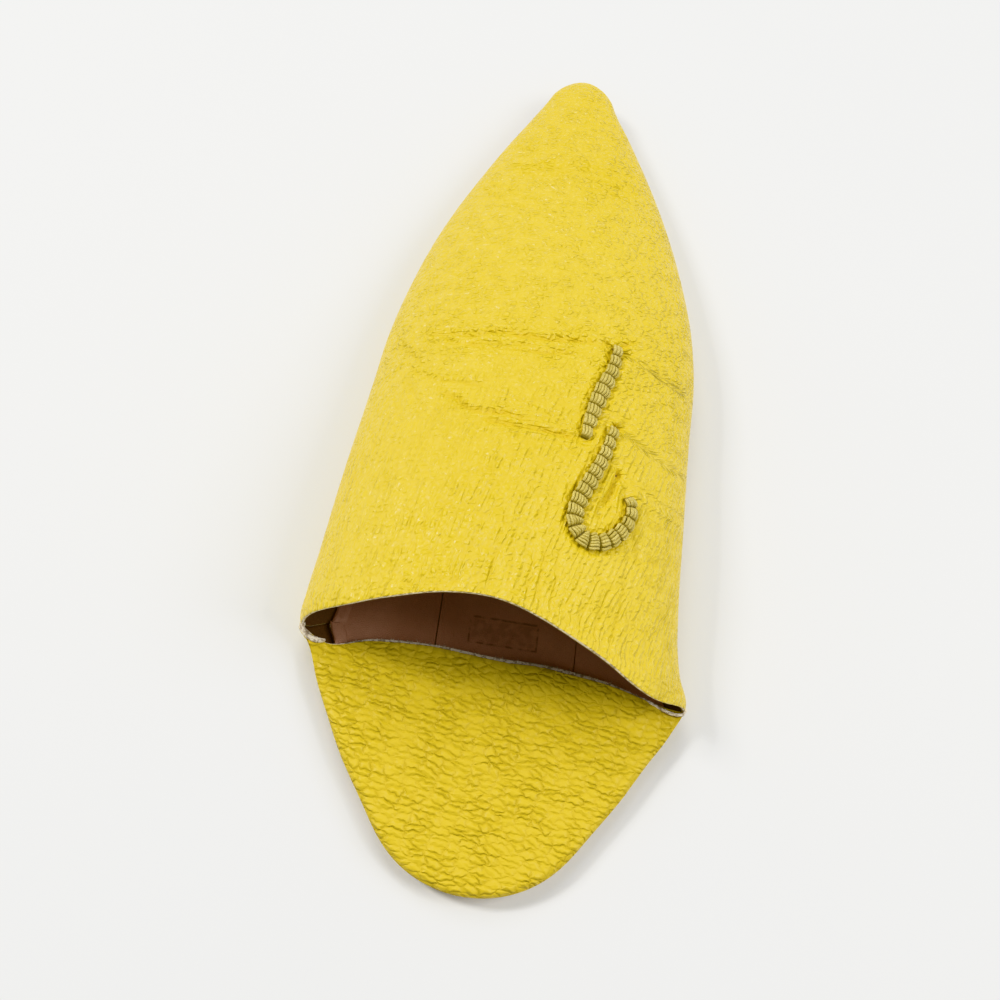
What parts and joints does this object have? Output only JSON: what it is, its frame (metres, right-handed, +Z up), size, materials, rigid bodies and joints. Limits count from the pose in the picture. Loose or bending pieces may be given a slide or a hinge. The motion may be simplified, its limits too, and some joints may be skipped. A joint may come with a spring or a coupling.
{
  "type": "babouche slipper",
  "caption": "Right leather babouche slipper with a pointed toe, its heel quarter folded flat on the insole, and an embroidered stroke and hook on the outer side of the vamp.",
  "frame": {"origin": "on the floor under the middle of the shoe's box, with the shoe standing on its sole", "axes": "+Y from the heel to the toe, +X to the outer side of the foot, +Z up"},
  "size_m": [0.1126, 0.284, 0.0449],
  "materials": {
    "yellow_leather": "pebbled full grain with a soft sheen",
    "natural_leather": "matte, undyed",
    "tan_leather": "matte, worn",
    "khaki_thread": "silky twisted thread"
  },
  "bodies": {
    "root": {"outsole": "natural_leather", "insole_centre": "tan_leather", "insole_inner": "tan_leather", "insole_outer": "tan_leather", "upper": "yellow_leather", "embroidery_stroke": "khaki_thread", "embroidery_hook": "khaki_thread"}
  },
  "joints": []
}
